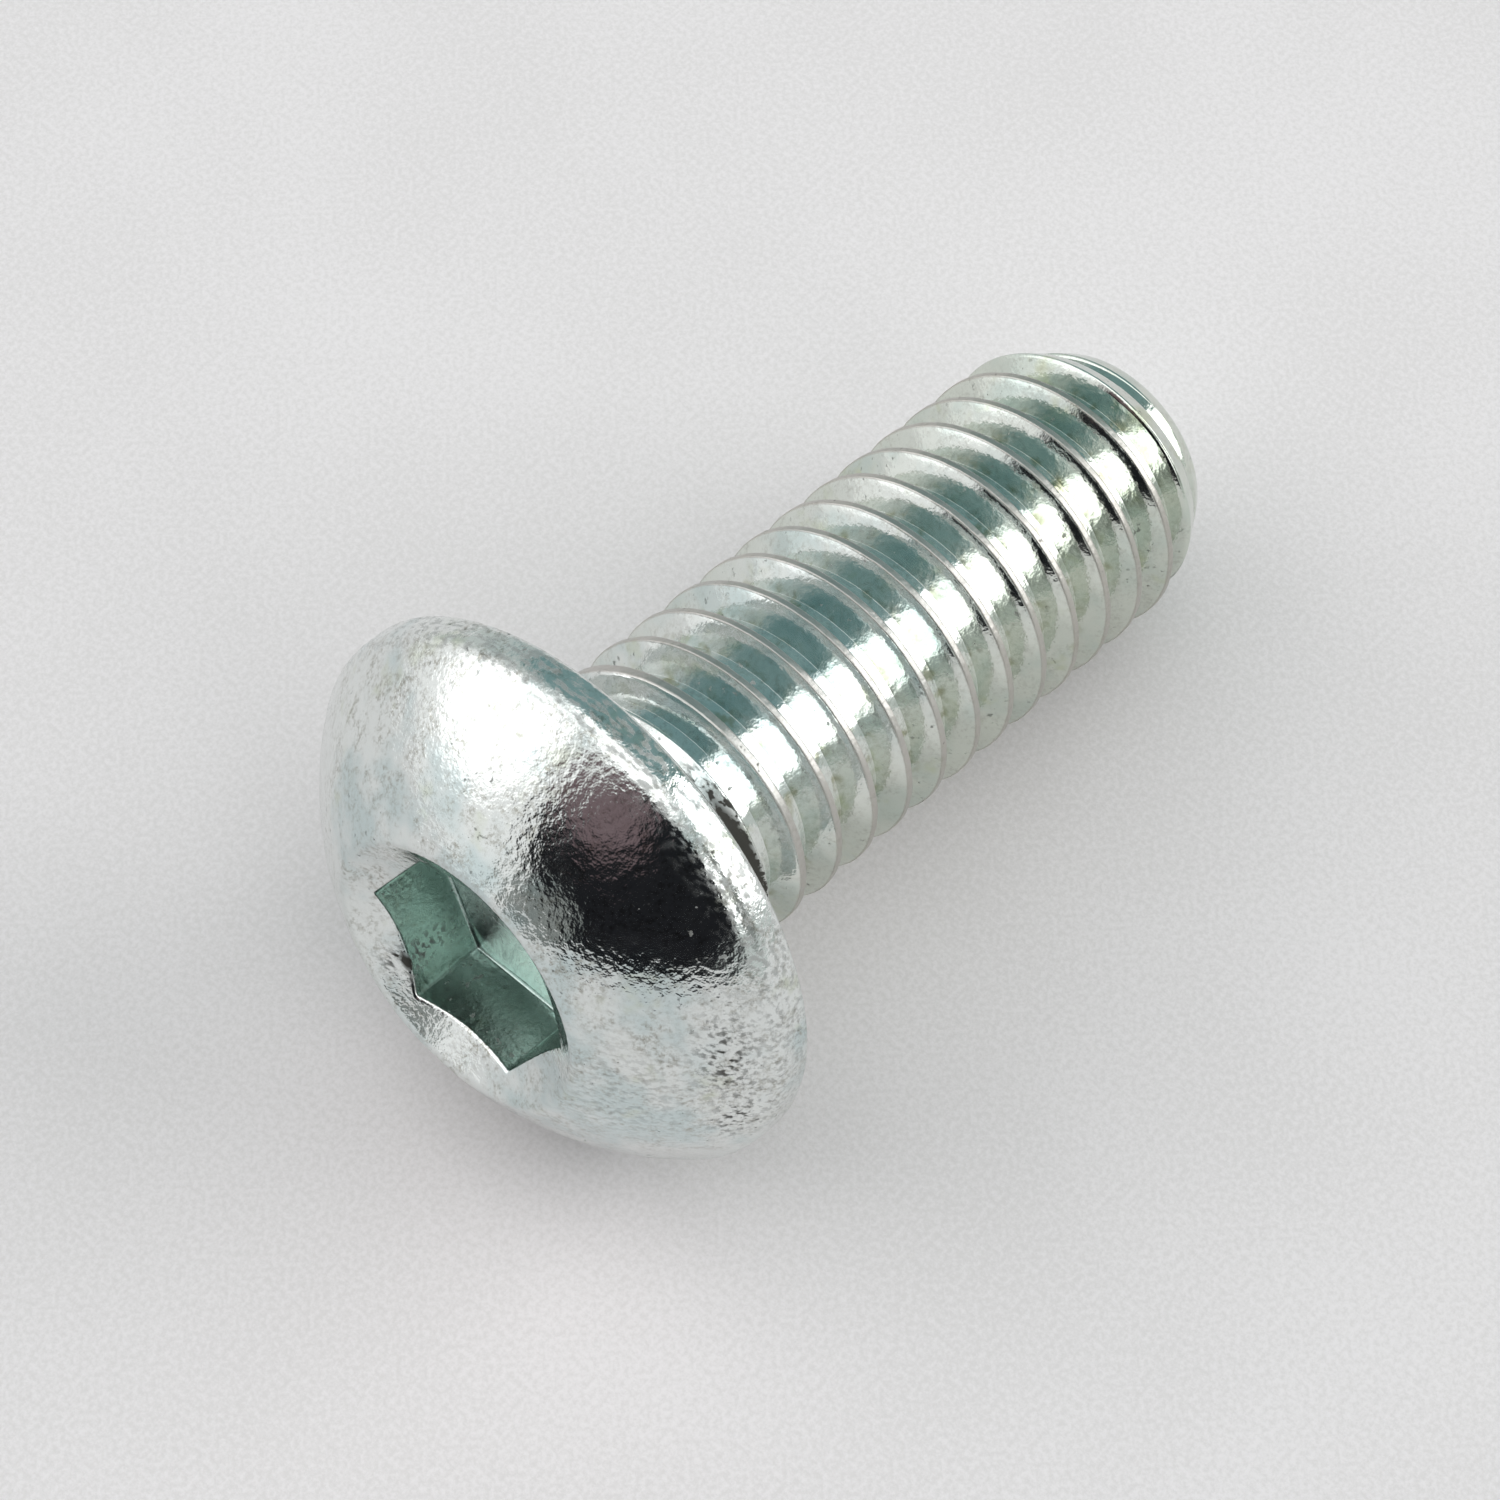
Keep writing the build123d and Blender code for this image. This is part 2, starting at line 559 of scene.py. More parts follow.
@dataclass(frozen=True)
class DirtAndShadowSmear:
    """A dark smear on the dome, at a clock angle in degrees and a distance from the axis. Most are
    dirt; the one at the socket's mouth is the painted shadow of a burr.

    The length and the width are how far off its middle it has thinned to a seventh. A
    thickness of 1 still shows the pattern of the metal.
    """

    angle: float
    reach: float
    length: float
    width: float
    thickness: float = 1.0

    def strength(self, spot: Vector) -> float:
        """Spread the smear.

        Args:
            spot: A spot on the upright head.

        Returns:
            How thick the smear is there.
        """
        turn = math.radians(self.angle)
        along = (-spot.x * math.sin(turn) + spot.y * math.cos(turn)) / self.length
        across = (spot.x * math.cos(turn) + spot.y * math.sin(turn) - self.reach) / self.width
        return self.thickness * math.exp(-2 * (along**2 + across**2))


@dataclass
class SocketHead:
    """The domed head with its punched hexagon socket, down to the joint with the shank."""

    columns: Columns
    socket_apothem: float
    socket_depth: float
    neck_radius: float
    joint: float
    radius: float = 4.5
    height: float = 2.52
    side_height: float = 0.56
    neck_rounding: float = 0.3
    bearing_rounding: float = 0.14
    dome_rounding: float = 0.19
    crown_radius: float = 2.0
    mouth_radius: float = 2.25
    mouth_rounding: float = 0.1
    mouth_slope: float = 1 / math.tan(math.radians(62))
    wall_rounding: float = 0.05
    corner_radius: float = 0.06
    floor_depth: float = 0.35
    dome_rows: int = 26
    # how far the dome's rows keep off its side and off the mouth, in radians
    dome_margins: tuple[float, float] = (0.09, 0.04)
    # how far off the socket's wall the mouth's cone has a row of its own
    lip: float = 0.12
    # corners of the hollow in the floor: shares of the apothem and of its depth, and rounding
    hollow: tuple[tuple[float, float, float], ...] = (
        (0.97, 0.0, 0.05),
        (0.25, 0.8, 0.2),
        (0.04, 1.0, 0.0),
    )
    # the small waves that heading leaves: how many to a millimetre, and how high they are
    swells: tuple[tuple[float, float], ...] = ((0.7, 0.016), (2.1, 0.006))
    # how far in the waves are set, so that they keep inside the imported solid
    swells_set_in: float = 0.006
    # the socket's film starts so far below the mouth's cone, and is full so much deeper
    film_edge: tuple[float, float] = (0.03, 0.06)
    # past this many apothems from the axis nothing is part of the socket
    socket_reach: float = 1.2
    # how far up the neck the head's grit fades out
    grit_fade: float = 0.2
    # spots below these heights are on the head's side, and on its dome
    side_below: float = -0.1
    dome_below: float = -0.3
    # dirt on the dome, and a burr's shadow at the mouth
    dirt_and_shadow_smears: tuple[DirtAndShadowSmear, ...] = (
        DirtAndShadowSmear(92, 3.0, 1.8, 1.3, 0.25),
        DirtAndShadowSmear(76, 4.0, 1.1, 0.35),
        DirtAndShadowSmear(96, 4.15, 0.7, 0.25),
        DirtAndShadowSmear(226, 1.67, 0.28, 0.12, 2.6),
    )
    # painted shade on the head's side, dulling the rim's reflection on its upper half: how
    # thick it is, which way it faces, how far round it spreads, and how far in from the rim it
    # starts and is full
    side_shade: float = 0.45
    side_shade_turn: float = math.radians(15)
    side_shade_spread: float = 0.2
    side_shade_edge: tuple[float, float] = (0.16, 0.1)
    # painted shade on the bearing face and the foot of the neck, which the thread mirrors
    underside_shade: float = 0.25

    @property
    def dome_centre(self) -> float:
        """The height of the centre of the ball that the dome is part of."""
        rise = self.height - self.side_height
        return (self.radius**2 - self.crown_radius**2) / rise / 2 - (self.height + self.side_height) / 2

    @property
    def ball(self) -> float:
        """The radius of that ball."""
        return math.hypot(self.radius, self.dome_centre + self.side_height)

    def cone(self, reach: float | np.ndarray) -> float | np.ndarray:
        """Give the height of the mouth's cone at a distance from the axis."""
        mouth = self.dome_centre - math.sqrt(self.ball**2 - self.mouth_radius**2)
        return mouth + (self.mouth_radius - reach) * self.mouth_slope

    def socket_radius(self) -> np.ndarray:
        """Follow the hexagon, with its corners rounded.

        Returns:
            The distance of the socket's wall from the axis for each column.
        """
        side = TURN / SOCKET_SIDES
        turned = self.columns.angles() - self.columns.first
        off_corner = np.abs((turned + side / 2) % side - side / 2)
        flat = self.socket_apothem / np.cos(side / 2 - off_corner)
        centre = (self.socket_apothem - self.corner_radius) / math.cos(side / 2)
        reach = np.maximum(self.corner_radius**2 - (centre * np.sin(off_corner)) ** 2, 0)
        rounded = centre * np.cos(off_corner) + np.sqrt(reach)
        end = centre + self.corner_radius * math.cos(side / 2)
        half_corner = math.atan2(self.corner_radius * math.sin(side / 2), end)
        return np.where(off_corner < half_corner, rounded, flat)

    def section(self) -> list[Corner]:
        """Draw the head's section.

        Returns:
            Its corners from the joint, round the head and into the socket.
        """
        start = math.asin(self.radius / self.ball)
        end = math.asin(self.mouth_radius / self.ball)
        side_margin, mouth_margin = self.dome_margins
        dome = [
            Corner(self.ball * math.sin(angle), self.dome_centre - self.ball * math.cos(angle))
            for angle in np.linspace(start - side_margin, end + mouth_margin, self.dome_rows)
        ]
        wall = self.socket_radius()
        lip = wall + self.lip
        floor = self.socket_depth - self.height
        hollow = [
            Corner(self.socket_apothem * reach, floor + self.floor_depth * depth, rounding, steps=3)
            for reach, depth, rounding in self.hollow
        ]
        return [
            Corner(self.neck_radius, self.joint),
            Corner(self.neck_radius, 0, self.neck_rounding),
            Corner(self.radius, 0, self.bearing_rounding),
            Corner(self.radius, -self.side_height, self.dome_rounding, steps=7),
            *dome,
            Corner(self.mouth_radius, self.cone(self.mouth_radius), self.mouth_rounding),
            Corner(lip, self.cone(lip)),
            Corner(wall, self.cone(wall), self.wall_rounding, steps=4),
            Corner(wall, floor, self.wall_rounding, steps=4),
            *hollow,
        ]

    def rows(self) -> np.ndarray:
        """Round the section's corners.

        Returns:
            An array of rows, of radius and height, and of columns.
        """
        corners = self.section()
        points = [corner.point(self.columns.count) for corner in corners]
        ends = [points[0], *points, points[-1]]
        rounded = [corner.curve(*ends[i : i + 3]) for i, corner in enumerate(corners)]
        return np.array([row for rows in rounded for row in rows])

    def marks(self, spot: Vector) -> dict[Mark, float]:
        """Mark a spot of the head for the finish.

        Args:
            spot: The spot, before the waves move it.

        Returns:
            How much it has of the socket's film, of grit, and of dirt and painted shade.
        """
        reach = math.hypot(spot.x, spot.y)
        in_reach = reach < self.socket_apothem * self.socket_reach
        start, span = self.film_edge
        inside = clamped((spot.z - self.cone(reach) - start) / span) if in_reach else 0.0
        outside = clamped((self.grit_fade - spot.z) / self.grit_fade) * (1 - inside)
        # painted shade: on the side's upper half, turned a little towards the camera, and under the head
        if spot.z < self.side_below:
            facing = math.cos(math.atan2(spot.y, spot.x) - self.side_shade_turn)
            start, span = self.side_shade_edge
            at_rim = clamped((reach - self.radius + start) / span)
            painted_shade = self.side_shade * clamped(self.side_shade_spread + facing) * at_rim
        else:
            painted_shade = self.underside_shade * outside
        on_dome = spot.z < self.dome_below
        smeared = sum(smear.strength(spot) for smear in self.dirt_and_shadow_smears) if on_dome else 0.0
        return {Mark.SOCKET: inside, Mark.GRIT: outside, Mark.DIRT: (smeared + painted_shade) * (1 - inside)}

    def uneven(self, spot: Vector, share: float) -> Vector:
        """Move a spot of the dome or the rim by the small waves that heading leaves.

        Args:
            spot: The spot.
            share: How much of the waves it gets, from 0 to 1.

        Returns:
            The spot's new place.
        """
        outward = Vector((spot.x, spot.y, spot.z - self.dome_centre)).normalized()
        swell = sum(noise.noise(spot * often) * height for often, height in self.swells)
        return spot + outward * share * (swell - self.swells_set_in)

    def add_to(self, bm: bmesh.types.BMesh) -> None:
        """Add the head's faces and marks, in upright millimetres.

        Args:
            bm: The mesh in the making, which has the shank already.
        """
        angles = self.columns.angles()
        kinds = bm.verts.layers.float
        layers = {mark: kinds.get(mark.value) or kinds.new(mark.value) for mark in Mark}
        rings = []
        for radius, height in self.rows():
            ring = []
            for spot in zip(radius * np.cos(angles), radius * np.sin(angles), height):
                spot = Vector(spot)
                marks = self.marks(spot)
                vertex = bm.verts.new(self.uneven(spot, marks[Mark.GRIT]))
                for mark, value in marks.items():
                    vertex[layers[mark]] = value
                ring.append(vertex)
            rings.append(ring)
        for lower, upper in zip(rings, rings[1:]):
            for i in range(self.columns.count):
                j = (i + 1) % self.columns.count
                bm.faces.new((lower[i], upper[i], upper[j], lower[j]))
        bm.faces.new(rings[-1])
        log.info("head: %d rings of %d vertices", len(rings), self.columns.count)


# ---------------------------------------------------------------- finishes


@dataclass(frozen=True)
class Patches:
    """Cloudy patches on a surface.

    The size is how far one spans, in millimetres, and the seed says how far their pattern is
    moved. As a mask they start at one mark of the clouds and are full at another.
    """

    size: float
    seed: float
    start: float = 0.0
    full: float = 1.0
    detail: float = 3.0
    roughness: float = 0.5
    dimensions: str = "3D"

    def clouds(self, tree: Tree, place: Socket) -> Socket:
        """Spread them with no edges.

        Args:
            tree: The material's tree.
            place: The place on the piece in millimetres.

        Returns:
            The clouds, which are about 0.5 on average.
        """
        inputs = {0: place, 1: (self.seed, self.seed, self.seed)}
        moved = add_node(tree, "ShaderNodeVectorMath", {"operation": "ADD"}, inputs).outputs[0]
        inputs = {"Vector": moved, "Scale": 1 / self.size}
        inputs |= {"Detail": self.detail, "Roughness": self.roughness}
        settings = {"noise_dimensions": self.dimensions}
        return add_node(tree, "ShaderNodeTexNoise", settings, inputs).outputs[0]

    def mask(self, tree: Tree, place: Socket) -> Socket:
        """Spread them over places in millimetres, as a soft-edged mask."""
        inputs = {"Value": self.clouds(tree, place), "From Min": self.start, "From Max": self.full}
        return add_node(tree, "ShaderNodeMapRange", {"interpolation_type": "SMOOTHSTEP"}, inputs).outputs[0]


def bare_material(name: str) -> tuple[bpy.types.Material, Tree, Socket]:
    """Start a material.

    Args:
        name: The real material and how its surface was made.

    Returns:
        The material, its empty tree, and the place on the piece in millimetres.
    """
    material = bpy.data.materials.new(name)
    material.use_nodes = True
    tree = material.node_tree
    tree.nodes.clear()
    place = add_node(tree, "ShaderNodeTexCoord").outputs["Object"]
    inputs = {"Vector": place, "Scale": 1 / MM}
    place = add_node(tree, "ShaderNodeVectorMath", {"operation": "SCALE"}, inputs).outputs[0]
    return material, tree, place


@dataclass(frozen=True)
class BrightZinc:
    """Bright zinc plating with a clear blue passivation, over cold-headed steel.

    The plating is close to a mirror. Its film is thin, so the silver drifts to blue-green and
    to straw yellow from place to place, and, away from the head's outside, to more straw
    towards the floor. Salts stay in the roots of the thread, and oil and dirt in scratches
    and pits. The dark of the dirt also paints shade on the head's rim and underside, by the
    socket's mouth and in the thread's run-out. The grit of real plating is about 0.02 mm, and
    specks of tarnish start at that size: both are drawn as coarse as they need to be to show.
    """

    silver: str = "E4E8E6"
    blue_film: str = "CBD8D8"
    straw_film: str = "CBD2BE"
    worn: str = "B0A9A3"
    tarnish: str = "97958A"
    socket_film: str = "BDD0CA"
    salts: str = "8E8E62"
    # the dark of dirt, which also paints shade on the head and in the thread's run-out
    dirt: str = "26221A"
    # the roughness where the plating is at its brightest
    roughness: float = 0.045

    # sizes in millimetres
    blue_patches: Patches = Patches(1.6, 0.0, 0.46, 0.66, roughness=0.65)
    straw_patches: Patches = Patches(0.9, 14.0, 0.56, 0.74, roughness=0.7)
    tarnish_specks: Patches = Patches(0.09, 29.0, 0.43, 0.68, roughness=0.8)
    tarnish_patches: Patches = Patches(0.45, 40.0, 0.34, 0.66, roughness=0.7)
    salt_patches: Patches = Patches(0.3, 50.0, 0.52, 0.7)
    pits: Patches = Patches(0.13, 62.0, 0.66, 0.74, detail=2.0)
    pitted_places: Patches = Patches(1.1, 76.0, 0.45, 0.62, detail=1.0)
    dirt_and_shade_streaks: Patches = Patches(0.22, 85.0, 0.46, 0.64)
    swell: Patches = Patches(0.5, 91.0, detail=1.0)
    grain: Patches = Patches(0.12, 103.0, detail=2.0, roughness=0.6)
    dullness: Patches = Patches(0.35, 117.0, detail=2.0)

    # where a mark of the mesh, or the height over the floor in millimetres, starts and is full
    worn_crest: tuple[float, float] = (0.55, 0.95)
    deep_groove: tuple[float, float] = (0.55, 1.0)
    # the shank turns straw, and a little darker, towards the floor
    low_side_height: tuple[float, float] = (6.2, 3.2)
    # how streaks of dirt and painted shade run, as a stretch of their pattern along each axis
    streak: tuple[float, float, float] = (2.6, 0.9, 2.6)
    # how much each coat hides at most, and how much more tarnish hides on the head
    straw_cover: float = 0.7
    low_side_cover: float = 0.5
    worn_cover: float = 0.7
    tarnish_cover: float = 0.4
    head_tarnish: float = 0.4
    salts_cover: float = 0.6
    dirt_and_shade_cover: float = 0.97
    pit_dirt: float = 0.6
    # depths in millimetres, with the shares of them that are everywhere, that the head adds,
    # and that worn or punched metal adds
    swell_height: float = 0.007
    swell_shares: tuple[float, float] = (0.5, 0.4)
    grain_height: float = 0.0095
    grain_shares: tuple[float, float, float] = (0.45, 0.55, 0.5)
    # what dull places, wear, the punch, and dirt and painted shade add to the roughness
    dull_roughness: float = 0.12
    worn_roughness: float = 0.25
    socket_roughness: float = 0.15
    dirt_and_shade_roughness: float = 0.6
    # how much of the metal's reflection dirt and painted shade take
    dirt_and_shade_dulling: float = 0.85

    def masks(self, tree: Tree, place: Socket) -> dict[Mark | str, Socket]:
        """Read where the mesh is worn, deep, gritty, dirty or painted with shade, and how high it is.

        Args:
            tree: The tree that gets the nodes.
            place: The place on the piece in millimetres.

        Returns:
            Sockets by the mesh's marks, and by the names worn, deep and low_side.
        """
        masks = {}
        for mark in Mark:
            settings = {"attribute_name": mark.value}
            masks[mark] = add_node(tree, "ShaderNodeAttribute", settings).outputs["Fac"]
        level = add_node(tree, "ShaderNodeSeparateXYZ", inputs={0: place}).outputs[2]
        edges = {
            "worn": (masks[Mark.CREST], self.worn_crest),
            "deep": (masks[Mark.GROOVE], self.deep_groove),
            "low_side": (level, self.low_side_height),
        }
        for name, (value, (start, full)) in edges.items():
            inputs = {"Value": value, "From Min": start, "From Max": full}
            soft = add_node(tree, "ShaderNodeMapRange", {"interpolation_type": "SMOOTHSTEP"}, inputs)
            masks[name] = soft.outputs[0]
        return masks

    def spread_dirt_and_shade(self, tree: Tree, place: Socket, masks: dict[Mark | str, Socket]) -> Socket:
        """Spread the dirt and the painted shade: streaky where they are thin, whole where they are thick,
        and dirt in the pits.

        Args:
            tree: The tree that gets the nodes.
            place: The place on the piece in millimetres.
            masks: Sockets by the mesh's marks.

        Returns:
            How much dirt and painted shade the spot has, from 0 to 1.
        """
        pits = ("MULTIPLY", self.pits.mask(tree, place), self.pitted_places.mask(tree, place))
        combed = add_node(tree, "ShaderNodeMapping", inputs={"Vector": place, "Scale": self.streak})
        streaky = ("MULTIPLY", self.dirt_and_shade_streaks.mask(tree, combed.outputs[0]), masks[Mark.DIRT])
        # past 1 the coat is whole: mostly painted shade, in the run-out and at the socket's mouth
        thick_dirt_and_shade = ("MAXIMUM", ("SUBTRACT", masks[Mark.DIRT], 1.0), 0.0)
        dirt_and_shade_amount = ("ADD", ("ADD", streaky, thick_dirt_and_shade), ("MULTIPLY", pits, self.pit_dirt))
        return add_node(tree, ("MINIMUM", dirt_and_shade_amount, 1.0)).outputs[0]

    def colour(self, tree: Tree, place: Socket, masks: dict[Mark | str, Socket], dirt_and_shade_amount: Socket) -> Socket:
        """Lay the films, the wear, the tarnish, the salts, and the dirt and painted shade over the silver.

        Args:
            tree: The tree that gets the nodes.
            place: The place on the piece in millimetres.
            masks: Sockets by the mesh's marks, and by the names worn, deep and low_side.
            dirt_and_shade_amount: How much dirt and painted shade the spot has.

        Returns:
            The colour.
        """
        on_shank = ("SUBTRACT", 1.0, masks[Mark.GRIT])
        # towards the floor, away from the head's outside, more of the straw colour is laid over the silver
        low_side = ("MULTIPLY", ("MULTIPLY", masks["low_side"], on_shank), self.low_side_cover)
        straw = ("MULTIPLY", self.straw_patches.mask(tree, place), self.straw_cover)
        straw = ("MINIMUM", ("ADD", straw, low_side), 1.0)
        tarnish_cover = ("ADD", ("MULTIPLY", masks[Mark.GRIT], self.head_tarnish), self.tarnish_cover)
        specks = self.tarnish_specks.mask(tree, place)
        aged = ("MULTIPLY", specks, self.tarnish_patches.mask(tree, place))
        aged = ("MULTIPLY", aged, tarnish_cover)
        salted = ("MULTIPLY", masks["deep"], self.salt_patches.mask(tree, place))
        coats = (
            (self.blue_patches.mask(tree, place), self.blue_film),
            (straw, self.straw_film),
            (("MULTIPLY", masks["worn"], self.worn_cover), self.worn),
            (masks[Mark.SOCKET], self.socket_film),
            (aged, self.tarnish),
            (("MULTIPLY", salted, self.salts_cover), self.salts),
            (("MULTIPLY", dirt_and_shade_amount, self.dirt_and_shade_cover), self.dirt),
        )
        colour = linear(self.silver)
        for cover, coat in coats:
            inputs = {0: cover, 6: colour, 7: linear(coat)}
            colour = add_node(tree, "ShaderNodeMix", {"data_type": "RGBA"}, inputs).outputs[2]
        return colour

    def relief(self, tree: Tree, place: Socket, masks: dict[Mark | str, Socket]) -> Socket:
        """Give the surface a faint orange-peel swell and the grit of the plating.

        Args:
            tree: The tree that gets the nodes.
            place: The place on the piece in millimetres.
            masks: Sockets by the mesh's marks, and by the name worn.

        Returns:
            The direction that the surface faces.
        """
        everywhere, on_head, on_rough = self.grain_shares
        rough_spots = ("MULTIPLY", ("ADD", masks["worn"], masks[Mark.SOCKET]), on_rough)
        coarse = ("ADD", ("ADD", everywhere, rough_spots), ("MULTIPLY", masks[Mark.GRIT], on_head))
        grain = ("MULTIPLY", ("MULTIPLY", self.grain.clouds(tree, place), coarse), self.grain_height)
        everywhere, on_head = self.swell_shares
        swollen = ("ADD", everywhere, ("MULTIPLY", masks[Mark.GRIT], on_head))
        swell = ("MULTIPLY", ("MULTIPLY", self.swell.clouds(tree, place), swollen), self.swell_height)
        inputs = {"Strength": 1.0, "Distance": MM, "Height": ("ADD", swell, grain)}
        return add_node(tree, "ShaderNodeBump", inputs=inputs).outputs[0]

    def material(self) -> bpy.types.Material:
        """Build the material.

        Returns:
            The finish of the whole screw.
        """
        material, tree, place = bare_material("bright zinc plated steel")
        masks = self.masks(tree, place)
        dirt_and_shade_amount = self.spread_dirt_and_shade(tree, place, masks)
        roughness = self.roughness
        for cover, added in (
            (self.dullness.clouds(tree, place), self.dull_roughness),
            (masks["worn"], self.worn_roughness),
            (masks[Mark.SOCKET], self.socket_roughness),
            (dirt_and_shade_amount, self.dirt_and_shade_roughness),
        ):
            roughness = ("ADD", roughness, ("MULTIPLY", cover, added))
        inputs = {
            "Base Color": self.colour(tree, place, masks, dirt_and_shade_amount),
            "Metallic": ("SUBTRACT", 1.0, ("MULTIPLY", dirt_and_shade_amount, self.dirt_and_shade_dulling)),
            "Roughness": roughness,
            "Normal": self.relief(tree, place, masks),
        }
        shader = add_node(tree, "ShaderNodeBsdfPrincipled", inputs=inputs)
        add_node(tree, "ShaderNodeOutputMaterial", inputs={"Surface": shader.outputs[0]})
        return material


@dataclass(frozen=True)
class PalePaper:
    """Uncoated white paper, matt, with the fine mottle and tooth of its fibres.

    Real fibres are about 0.03 mm wide, and are drawn as coarse as they need to be to show.
    """

    pale: str = "E7E4E5"
    grey: str = "DBD8D8"
    roughness: float = 0.9
    tooth: float = 0.006
    fibres: Patches = Patches(0.09, 0.0, roughness=0.7, dimensions="2D")
    shades: Patches = Patches(5.0, 20.0, detail=2.0, dimensions="2D")
    fibre_share: float = 0.8
    shade_share: float = 0.2
    # where the mottle turns from grey to pale
    turn: tuple[float, float] = (0.3, 0.7)

    def material(self) -> bpy.types.Material:
        """Build the material.

        Returns:
            The finish of the floor.
        """
        material, tree, place = bare_material("uncoated white paper")
        fibres = self.fibres.clouds(tree, place)
        shades = ("MULTIPLY", self.shades.clouds(tree, place), self.shade_share)
        mottle = ("ADD", ("MULTIPLY", fibres, self.fibre_share), shades)
        inputs = {"Value": mottle, "From Min": self.turn[0], "From Max": self.turn[1]}
        mottle = add_node(tree, "ShaderNodeMapRange", {"interpolation_type": "SMOOTHSTEP"}, inputs)
        inputs = {0: mottle.outputs[0], 6: linear(self.grey), 7: linear(self.pale)}
        colour = add_node(tree, "ShaderNodeMix", {"data_type": "RGBA"}, inputs).outputs[2]
        inputs = {"Strength": 1.0, "Distance": MM, "Height": ("MULTIPLY", fibres, self.tooth)}
        bump = add_node(tree, "ShaderNodeBump", inputs=inputs).outputs[0]
        inputs = {"Base Color": colour, "Roughness": self.roughness, "Normal": bump}
        shader = add_node(tree, "ShaderNodeBsdfPrincipled", inputs=inputs)
        add_node(tree, "ShaderNodeOutputMaterial", inputs={"Surface": shader.outputs[0]})
        return material


# ---------------------------------------------------------------- the screw


@dataclass
class ButtonHeadScrew:
    """The whole screw: head and shank joined into one mesh and laid in its place."""

    place: LyingPlace
    shank: ThreadedShank
    head: SocketHead
    finish: BrightZinc = field(default_factory=BrightZinc)

    def build(self) -> bpy.types.Object:
        """Build the screw, put it under the root body and hide the imported solid.

        Returns:
            The screw, with its place in its mesh.
        """
        bm = bmesh.new()
        bm.from_mesh(self.shank.mesh())
        self.head.add_to(bm)
        bmesh.ops.remove_doubles(bm, verts=bm.verts, dist=WELD)
        bmesh.ops.recalc_face_normals(bm, faces=bm.faces)
        open_edges = sum(len(edge.link_faces) < 2 for edge in bm.edges)
        crowded_edges = sum(len(edge.link_faces) > 2 for edge in bm.edges)
        for face in bm.faces:
            face.smooth = True
        bm.transform(self.place.matrix())
        mesh = bpy.data.meshes.new("screw")
        bm.to_mesh(mesh)
        bm.free()
        mesh.materials.clear()
        mesh.materials.append(self.finish.material())
        screw = bpy.data.objects.new("screw", mesh)
        bpy.context.scene.collection.objects.link(screw)
        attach(screw, "root")
        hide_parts(NODE)
        triangles = sum(len(polygon.vertices) - 2 for polygon in mesh.polygons)
        log.info("screw: %d triangles", triangles)
        log.info("edges with one face: %d, with more than two: %d", open_edges, crowded_edges)
        return screw


# ---------------------------------------------------------------- studio


@dataclass(frozen=True)
class RoomPatch:
    """A soft-edged bright or dark part of the room, as the screw sees it.

    Bearing and elevation give its middle, and full and edge how far off the middle it keeps
    its strength and where it ends, all in degrees.
    """

    name: str
    bearing: float
    elevation: float
    full: float
    edge: float
    colour: str
    level: float = 1.0

    @property
    def middle(self) -> Vector:
        """The direction of the middle.

        Returns:
            The direction, one unit long.
        """
        turn = math.radians(self.bearing)
        rise = math.radians(self.elevation)
        return Vector((math.cos(turn) * math.cos(rise), math.sin(turn) * math.cos(rise), math.sin(rise)))

    def add_over(self, tree: Tree, direction: Socket, room: Socket | tuple) -> Socket:
        """Lay the patch over the room.

        Args:
            tree: The world's tree.
            direction: The direction that is looked at.
            room: The colour of the room so far, or its socket.

        Returns:
            The room's colour with the patch.
        """
        inputs = {0: direction, 1: self.middle}
        nearness = add_node(tree, "ShaderNodeVectorMath", {"operation": "DOT_PRODUCT"}, inputs)
        start, full = (math.cos(math.radians(angle)) for angle in (self.edge, self.full))
        inputs = {"Value": nearness.outputs["Value"], "From Min": start, "From Max": full}
        mask = add_node(tree, "ShaderNodeMapRange", {"interpolation_type": "SMOOTHSTEP"}, inputs)
        light = tuple(part * self.level for part in linear(self.colour)[:3]) + (1.0,)
        inputs = {0: mask.outputs[0], 6: room, 7: light}
        return add_node(tree, "ShaderNodeMix", {"data_type": "RGBA"}, inputs).outputs[2]


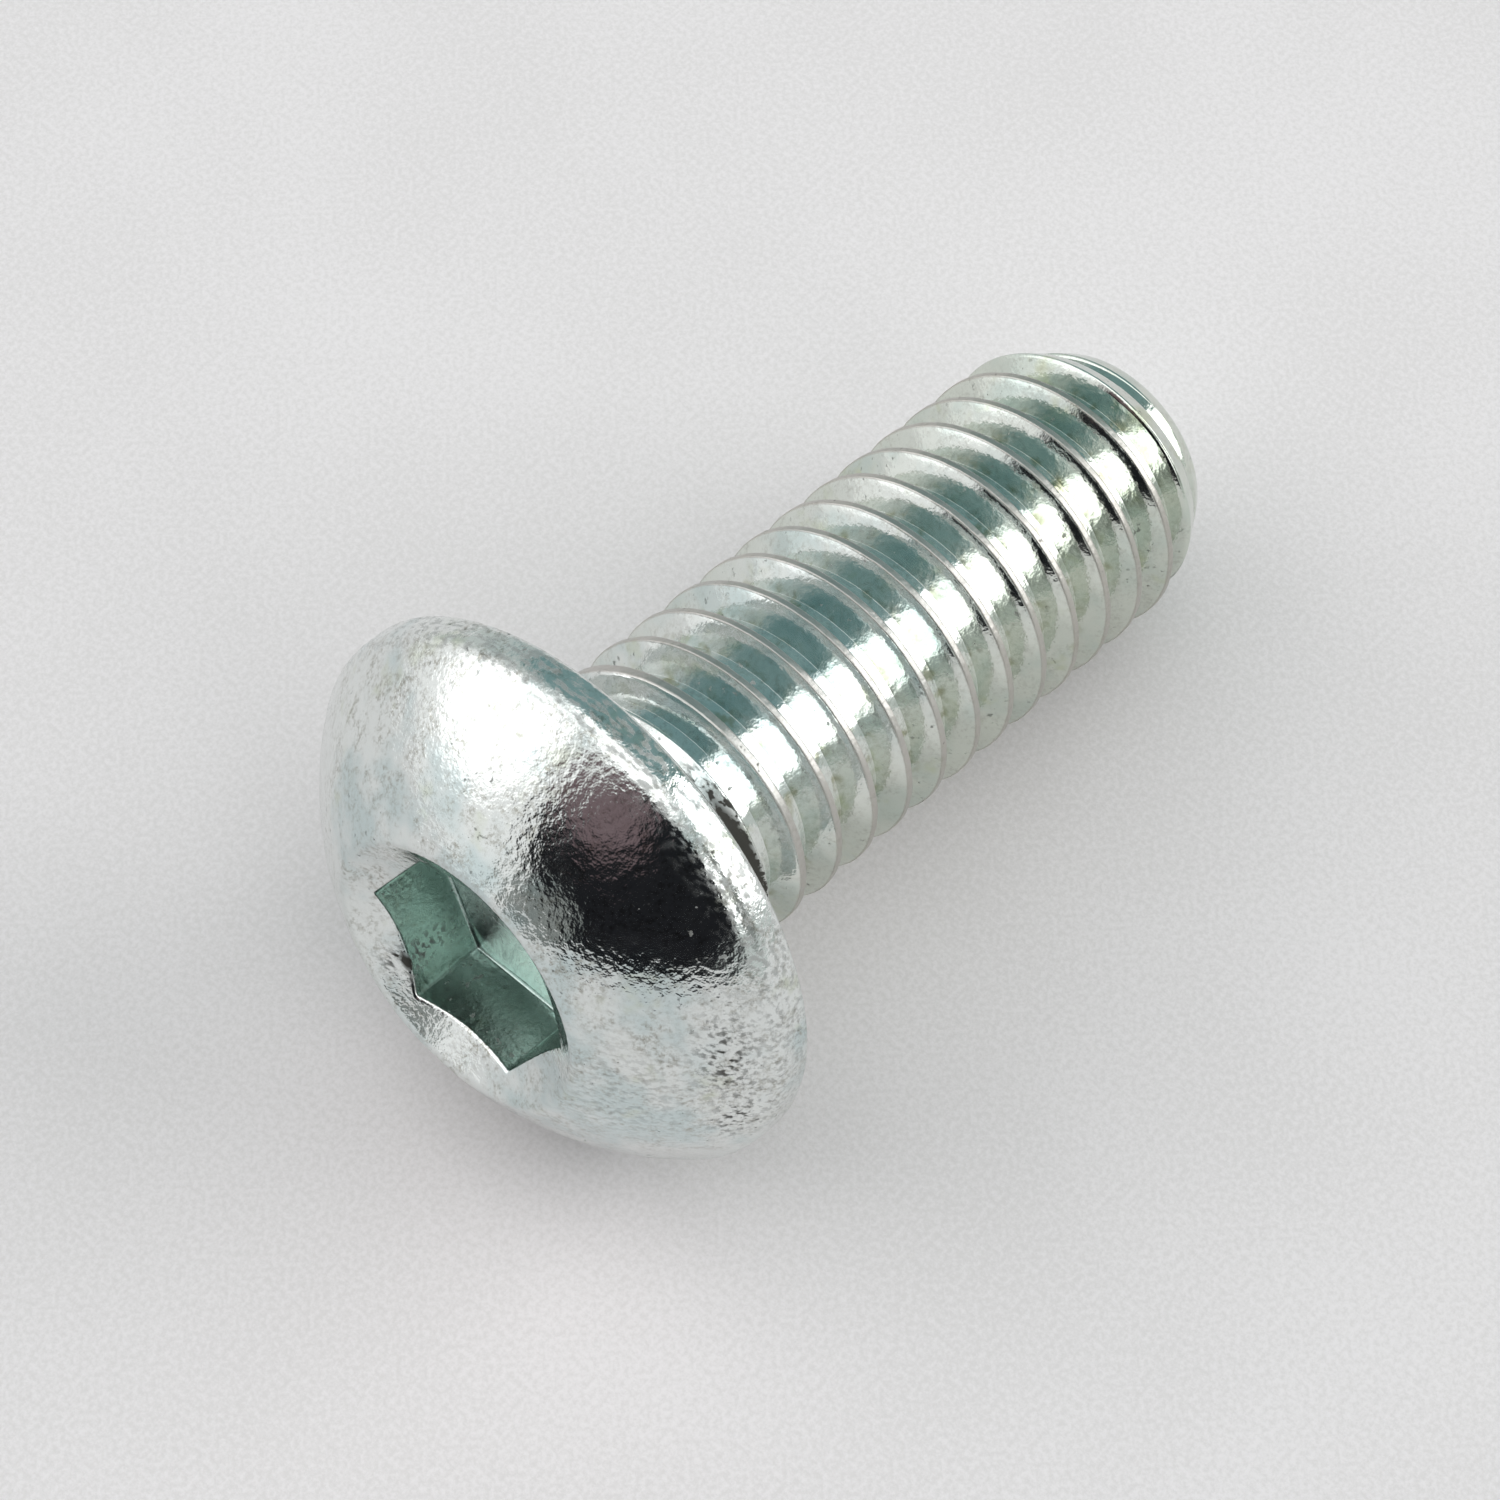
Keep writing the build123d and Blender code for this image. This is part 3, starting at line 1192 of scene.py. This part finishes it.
@dataclass
class Studio:
    """The paper, the light of the room and the camera."""

    aim: Vector
    # where the camera stands and how it is set, in radians, metres and millimetres of film
    heading: float = math.radians(42.41)
    elevation: float = math.radians(59.67)
    distance: float = 51.70 * MM
    aim_right: float = -2.682 * MM
    aim_down: float = 2.018 * MM
    lens: float = 86.9
    film_width: float = 36.0
    clip: tuple[float, float] = (0.001, 10.0)
    floor_half: float = 0.6
    room: str = "C6CCCA"
    patches: tuple[RoomPatch, ...] = (
        RoomPatch("ceiling", 0, 90, 16, 38, "FFFFFF", 1.7),
        RoomPatch("dark far side", 20, 40, 23, 40, "7B9798"),
        RoomPatch("grey wall on the right", -84, 26, 14, 24, "8C908E"),
        RoomPatch("pale wall on the left", 130, 15, 36, 58, "FFFFFF", 0.95),
        RoomPatch("window on the right", -42, 29, 19, 25.5, "FFFFFF", 3.0),
        RoomPatch("window on the left", 124, 36, 17, 30, "FFFFFF", 1.8),
        RoomPatch("dark near side", 207, 26, 31, 39, "1E1F22"),
        RoomPatch("warm near side", 186, 46, 3, 18, "77666A"),
        RoomPatch("foot of the near side", 177, 5, 5, 13, "8A8E8C"),
        RoomPatch("small window", -101, 32, 9, 16, "FFFFFF", 1.7),
    )

    def camera(self) -> None:
        """Set the camera on its stand."""
        right = Vector((math.sin(self.heading), -math.cos(self.heading), 0))
        level = Vector((math.cos(self.heading), math.sin(self.heading), 0))
        ahead = level * math.cos(self.elevation) - Vector((0, 0, 1)) * math.sin(self.elevation)
        down = ahead.cross(right)
        data = bpy.data.cameras.new("camera")
        data.lens = self.lens
        data.sensor_width = self.film_width
        data.clip_start, data.clip_end = self.clip
        camera = bpy.data.objects.new("camera", data)
        bpy.context.scene.collection.objects.link(camera)
        turn = Matrix((right, -down, -ahead)).transposed()
        offset = right * self.aim_right + down * self.aim_down + ahead * self.distance
        camera.matrix_world = Matrix.Translation(self.aim - offset) @ turn.to_4x4()
        bpy.context.scene.camera = camera

    def floor(self) -> None:
        """Lay the paper."""
        mesh = bpy.data.meshes.new("floor")
        half = self.floor_half
        corners = [(-half, -half, 0), (half, -half, 0), (half, half, 0), (-half, half, 0)]
        mesh.from_pydata(corners, [], [(0, 1, 2, 3)])
        mesh.materials.append(PalePaper().material())
        floor = bpy.data.objects.new("floor", mesh)
        bpy.context.scene.collection.objects.link(floor)

    def surroundings(self) -> None:
        """Light the room."""
        world = bpy.data.worlds.new("room")
        world.use_nodes = True
        tree = world.node_tree
        tree.nodes.clear()
        direction = add_node(tree, "ShaderNodeTexCoord").outputs["Generated"]
        room = linear(self.room)
        for patch in self.patches:
            room = patch.add_over(tree, direction, room)
        light = add_node(tree, "ShaderNodeBackground", inputs={"Color": room, "Strength": 1.0})
        add_node(tree, "ShaderNodeOutputWorld", inputs={"Surface": light.outputs[0]})
        bpy.context.scene.world = world

    def build(self) -> None:
        """Set up the studio."""
        self.camera()
        self.floor()
        self.surroundings()
        bpy.context.scene.view_settings.view_transform = "Standard"
        log.info("studio: %d patches of light and shade", len(self.patches))


def main() -> None:
    """Build the screw and the studio, in order."""
    logging.basicConfig(level=logging.INFO, format="%(name)s: %(message)s")
    mounts = {mount["name"]: mount for mount in frame["record"]["mounts"]}
    thread = mounts["threaded_shank"]
    socket = mounts["hex_socket"]["dims"]
    place = LyingPlace.from_mount(mounts["bearing_face"])
    tip = (Vector(thread["pos_m"]) - place.origin).length / MM + thread["dims"]["length_mm"]
    columns = Columns()
    shank = ThreadedShank(columns, thread["dims"]["r_mm"], tip)
    head = SocketHead(columns, socket["r_mm"], socket["length_mm"], shank.neck_radius, shank.joint)
    ButtonHeadScrew(place, shank, head).build()
    Studio(place.origin - place.axis * AIM_BELOW * MM).build()


if __name__ == "__main__":
    main()
